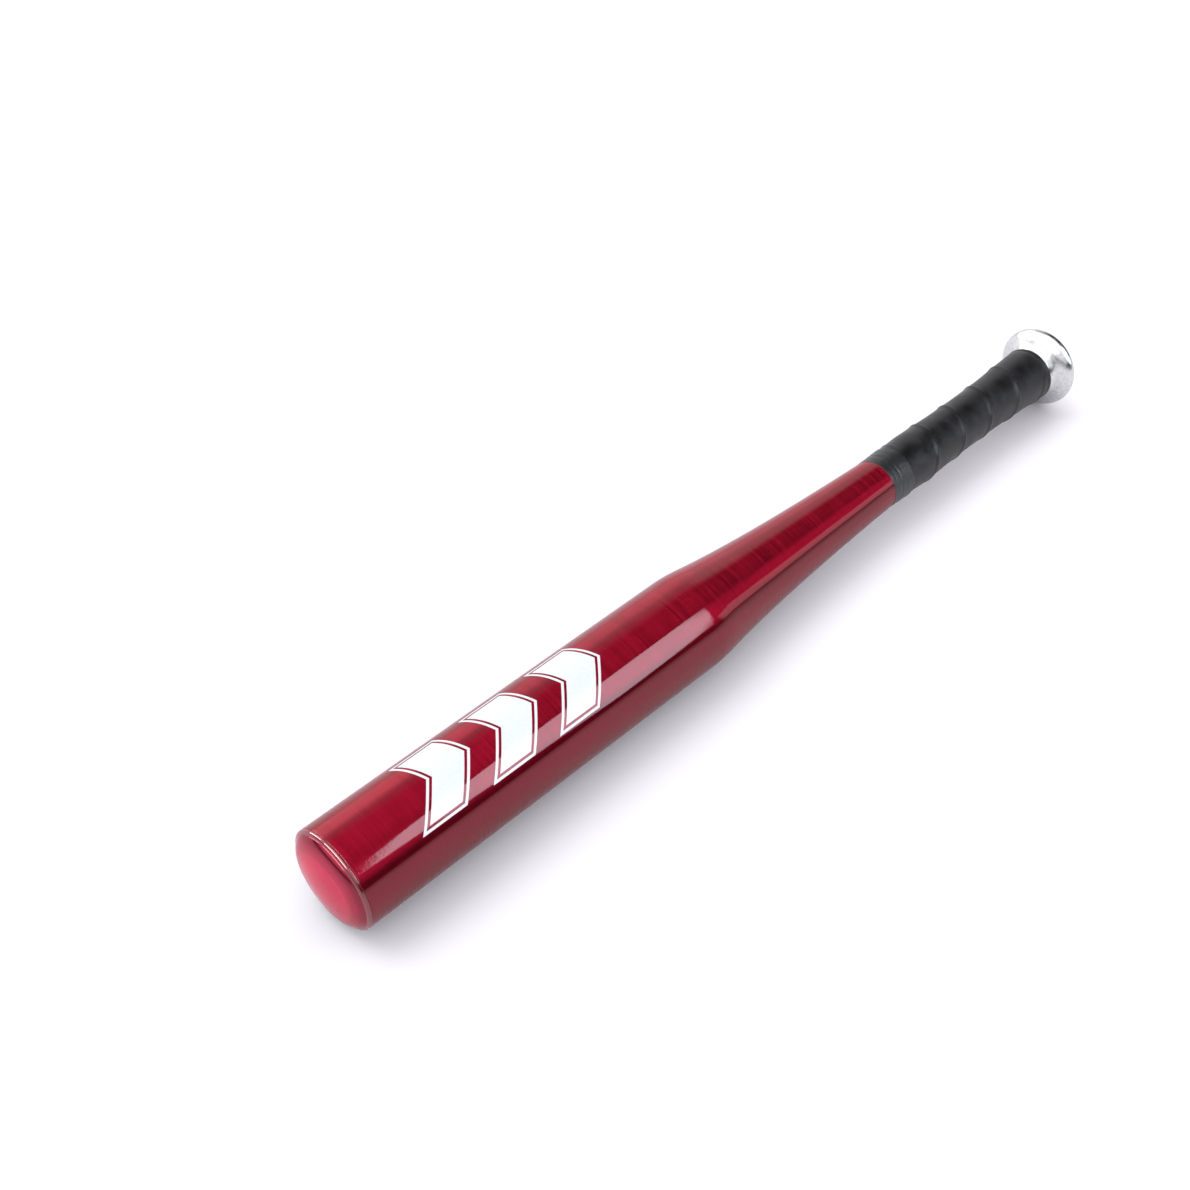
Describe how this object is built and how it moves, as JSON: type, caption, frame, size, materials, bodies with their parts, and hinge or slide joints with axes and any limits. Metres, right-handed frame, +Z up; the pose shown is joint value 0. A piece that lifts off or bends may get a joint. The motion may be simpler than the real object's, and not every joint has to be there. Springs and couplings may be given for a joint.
{
  "type": "baseball bat",
  "caption": "Short hollow aluminium baseball bat with a lacquered barrel, pressed end cap, spiral-wrapped cushioned grip and turned round knob.",
  "frame": {"origin": "on the surface the bat lies on, under the middle of its overall length", "axes": "+Z up from the surface; +X along the bat, from the barrel end towards the knob; the bat's own axis drops 0.257 degrees towards +X, because it rests on the end of its straight barrel and on its knob"},
  "size_m": [0.6096, 0.0572, 0.0582],
  "materials": {
    "lacquered_alloy": "translucent ruby lacquer with a gloss clear coat over lathe-turned aluminium",
    "turned_alloy": "turned and polished, fine circular tool marks",
    "weld": "as welded",
    "grip_leather": "black synthetic leather tape, soft sheen, finely pebbled",
    "adhesive_underlay": "double-sided foam tape",
    "vinyl_tape": "thin black stretched vinyl",
    "white_print": "opaque white ink film under gloss"
  },
  "bodies": {
    "root": {"barrel_tube": "lacquered_alloy", "end_cap": "lacquered_alloy", "knob": "turned_alloy", "knob_weld": "weld", "grip_underlay": "adhesive_underlay", "grip_wrap": "grip_leather", "finishing_tape": "vinyl_tape", "mark_1_outline": "white_print", "mark_1_fill": "white_print", "mark_2_outline": "white_print", "mark_2_fill": "white_print", "mark_3_outline": "white_print", "mark_3_fill": "white_print"}
  },
  "joints": []
}
